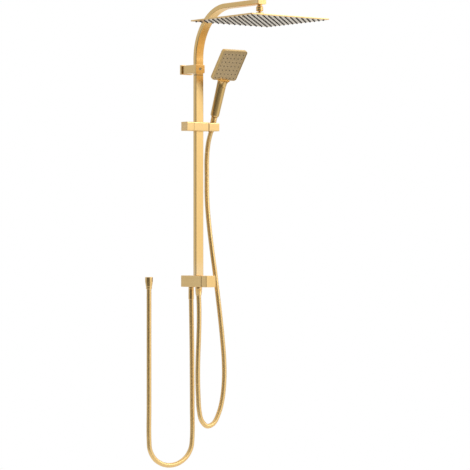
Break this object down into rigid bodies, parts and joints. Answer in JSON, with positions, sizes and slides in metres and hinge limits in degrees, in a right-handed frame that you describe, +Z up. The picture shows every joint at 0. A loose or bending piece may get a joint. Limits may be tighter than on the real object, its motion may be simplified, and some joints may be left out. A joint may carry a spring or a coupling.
{
  "type": "rainfall shower column",
  "caption": "Wall-mounted gold shower column with a gooseneck arm, a tilting square rain head, a sliding handset holder, a two-way diverter and hoses to the handset and supply.",
  "frame": {"origin": "centre of the lower wall plate's back face, where the diverter meets the wall", "axes": "+Z up, +X to the right along the wall, +Y into the wall, so the front looks along -Y"},
  "size_m": [0.3245, 0.526, 1.4335],
  "materials": {
    "gold_brass": "brushed gold coating on cast brass",
    "gold_steel": "brushed gold coating on stainless steel",
    "gold_plastic": "satin gold plating on moulded plastic",
    "raw_brass": "machined, uncoated",
    "steel": "plain stainless",
    "rubber": "matt black",
    "silicone": "soft dark grey",
    "nylon": "natural",
    "hose_metal": "gold spiral-wound hose"
  },
  "bodies": {
    "column": {"diverter_body": "gold_brass", "outlet_hose_nut": "gold_brass", "inlet_hose_ferrule": "gold_brass", "supply_connector": "gold_brass", "ball_stem": "gold_brass", "bracket_base": "gold_brass", "bracket_post": "gold_brass", "riser_tube": "gold_steel", "gooseneck_arm": "gold_steel", "arm_end_cap": "gold_steel", "cartridge_nut": "raw_brass", "outlet_nipple": "raw_brass", "inlet_nipple": "raw_brass", "riser_spigot": "raw_brass", "column_coupler": "raw_brass", "arm_lock_nut": "raw_brass", "lower_wall_plate": "steel", "lower_wall_screw_1": "steel", "lower_wall_screw_2": "steel", "riser_grub_screw": "steel", "bracket_wall_screw_1": "steel", "bracket_wall_screw_2": "steel", "bracket_grub_screw": "steel", "bracket_clamp_screw": "steel", "cartridge_seal": "rubber", "outlet_washer": "rubber", "inlet_washer": "rubber", "supply_washer": "rubber", "riser_o_ring": "rubber", "column_seal": "rubber", "cartridge_housing": "nylon", "handset_hose": "hose_metal", "supply_hose": "hose_metal"},
    "diverter_knob": {"cartridge_stem": "raw_brass", "diverter_knob": "gold_brass", "knob_face": "gold_brass", "knob_grub_screw": "steel"},
    "slider": {"slider_body": "gold_brass", "slider_liner": "nylon", "holder_pivot": "steel", "holder_washer": "nylon"},
    "lock_knob": {"lock_knob": "gold_brass", "clamp_spindle": "steel"},
    "holder": {"handset_holder": "gold_brass", "holder_liner": "nylon"},
    "handset": {"handset_shell": "gold_plastic", "handset_face": "gold_plastic", "handset_nozzle_mat": "silicone", "handset_nipple": "raw_brass", "handset_washer": "rubber", "hose_cone_nut": "gold_brass", "button_spring": "steel"},
    "selector_button": {"selector_button": "gold_plastic"},
    "ball_seat_upper": {"ball_seat_upper": "nylon"},
    "ball_seat_lower": {"ball_seat_lower": "nylon"},
    "rain_head": {"ball_collar": "gold_brass", "head_shell": "gold_steel", "head_plate": "gold_steel", "head_nozzle_mat": "silicone"}
  },
  "joints": [
    {"name": "diverter_turn", "type": "hinge", "parent": "column", "child": "diverter_knob", "pos_m": [0, -0.118, 0], "axis": [0, -1, 0], "range_deg": [0, 90]},
    {"name": "slider_slide", "type": "slide", "parent": "column", "child": "slider", "axis": [0, 0, 1], "range_m": [-0.4, 0.02], "deforming": ["handset_hose"]},
    {"name": "lock_knob_turn", "type": "hinge", "parent": "slider", "child": "lock_knob", "pos_m": [-0.041, -0.068, 0.482], "axis": [-1, 0, 0], "range_deg": [0, 90]},
    {"name": "holder_tilt", "type": "hinge", "parent": "slider", "child": "holder", "pos_m": [0.03, -0.068, 0.482], "axis": [1, 0, 0], "range_deg": [-10, 25]},
    {"name": "handset_lift", "type": "slide", "parent": "holder", "child": "handset", "axis": [0, -0.3518, 0.9361], "range_m": [0, 0.03]},
    {"name": "selector_press", "type": "slide", "parent": "handset", "child": "selector_button", "axis": [0, 0.9361, 0.3518], "range_m": [0, 0.0025], "stiffness_N_per_m": 600, "springref_m": -0.002, "deforming": ["button_spring"]},
    {"name": "head_tilt_x", "type": "hinge", "parent": "column", "child": "ball_seat_upper", "pos_m": [0, -0.376, 0.806], "axis": [1, 0, 0], "range_deg": [-10, 10]},
    {"name": "head_tilt_y", "type": "hinge", "parent": "ball_seat_upper", "child": "ball_seat_lower", "pos_m": [0, -0.376, 0.806], "axis": [0, 1, 0], "range_deg": [-10, 10]},
    {"name": "head_spin", "type": "hinge", "parent": "ball_seat_lower", "child": "rain_head", "pos_m": [0, -0.376, 0.806], "axis": [0, 0, 1], "continuous": true}
  ]
}
